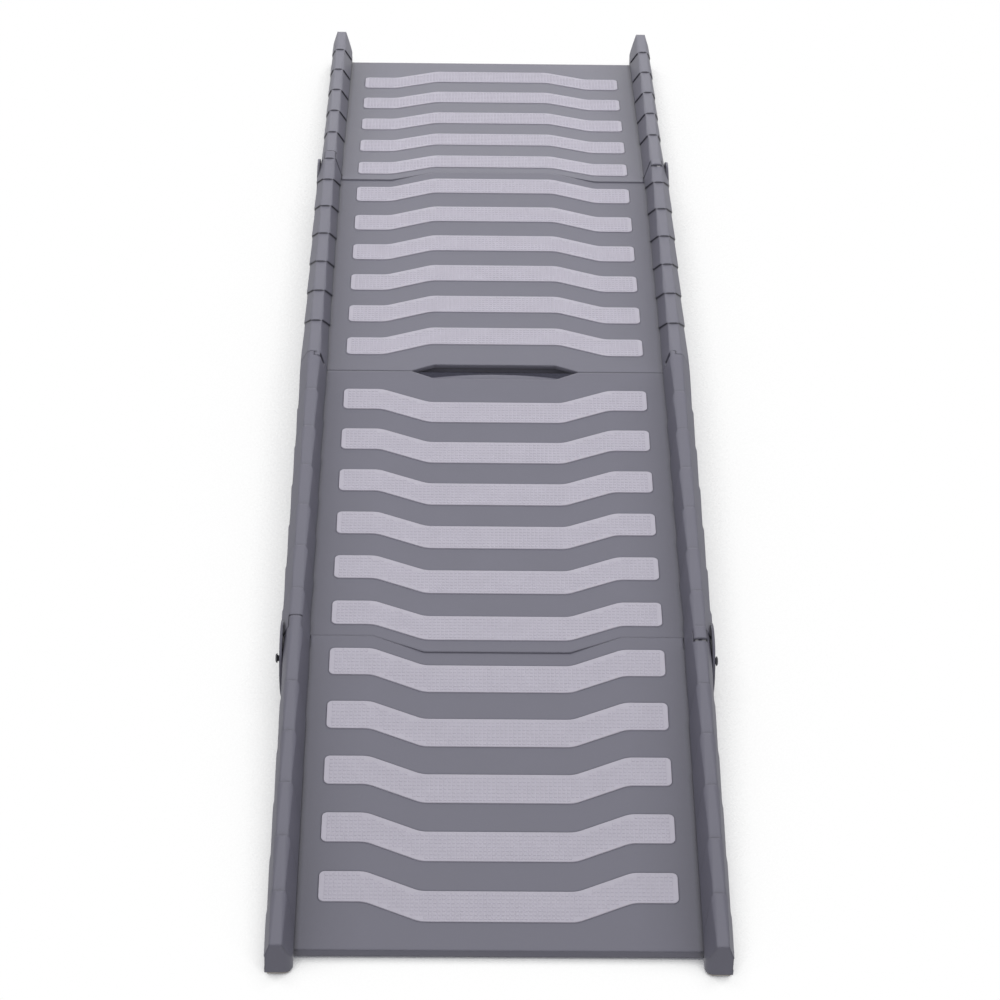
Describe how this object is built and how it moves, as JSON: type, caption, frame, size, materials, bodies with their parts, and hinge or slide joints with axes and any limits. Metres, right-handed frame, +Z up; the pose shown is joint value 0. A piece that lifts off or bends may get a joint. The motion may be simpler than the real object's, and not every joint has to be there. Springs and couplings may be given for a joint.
{
  "type": "folding dog ramp",
  "caption": "Folding pet ramp of hinged plastic panels with stepped side rails, wavy anti-slip strips and a carry handle at the middle seam; the end panels nest under the inner ones.",
  "frame": {"origin": "on the floor under the middle seam, at the centre of the part's width and length", "axes": "+X across the ramp, +Y from the near end to the far end, +Z up from the floor"},
  "size_m": [0.411, 1.571, 0.099],
  "materials": {
    "panel_plastic": "fine-grained moulded grey",
    "handle_plastic": "smooth moulded grey",
    "strip_rubber": "dotted soft light grey",
    "foot_rubber": "matt pale grey",
    "dark_steel": "blackened",
    "bright_steel": "zinc plated",
    "dark_plastic": "matt black"
  },
  "bodies": {
    "inner_near": {"inner_panel_near": "panel_plastic", "carry_handle": "handle_plastic", "handle_screws": "bright_steel", "hinge_rod": "bright_steel", "hinge_rod_caps": "dark_plastic", "hinge_bolts_near": "dark_steel", "hinge_washers_near": "dark_plastic", "hinge_nuts_near": "bright_steel", "edge_feet_near": "foot_rubber", "tread_strip_06": "strip_rubber", "tread_strip_07": "strip_rubber", "tread_strip_08": "strip_rubber", "tread_strip_09": "strip_rubber", "tread_strip_10": "strip_rubber", "tread_strip_11": "strip_rubber"},
    "inner_far": {"inner_panel_far": "panel_plastic", "hinge_bolts_far": "dark_steel", "hinge_washers_far": "dark_plastic", "hinge_nuts_far": "bright_steel", "edge_feet_far": "foot_rubber", "tread_strip_12": "strip_rubber", "tread_strip_13": "strip_rubber", "tread_strip_14": "strip_rubber", "tread_strip_15": "strip_rubber", "tread_strip_16": "strip_rubber", "tread_strip_17": "strip_rubber"},
    "end_near": {"end_panel_near": "panel_plastic", "end_feet_near": "foot_rubber", "tread_strip_01": "strip_rubber", "tread_strip_02": "strip_rubber", "tread_strip_03": "strip_rubber", "tread_strip_04": "strip_rubber", "tread_strip_05": "strip_rubber"},
    "end_far": {"end_panel_far": "panel_plastic", "end_feet_far": "foot_rubber", "tread_strip_18": "strip_rubber", "tread_strip_19": "strip_rubber", "tread_strip_20": "strip_rubber", "tread_strip_21": "strip_rubber", "tread_strip_22": "strip_rubber"}
  },
  "joints": [
    {"name": "middle_fold", "type": "hinge", "parent": "inner_near", "child": "inner_far", "pos_m": [0, 0, 0.006], "axis": [-1, 0, 0], "range_deg": [0, 176]},
    {"name": "near_fold", "type": "hinge", "parent": "inner_near", "child": "end_near", "pos_m": [0, -0.41445, 0.03789], "axis": [1, 0, 0], "range_deg": [0, 176]},
    {"name": "far_fold", "type": "hinge", "parent": "inner_far", "child": "end_far", "pos_m": [0, 0.41445, 0.03789], "axis": [-1, 0, 0], "range_deg": [0, 176]}
  ]
}
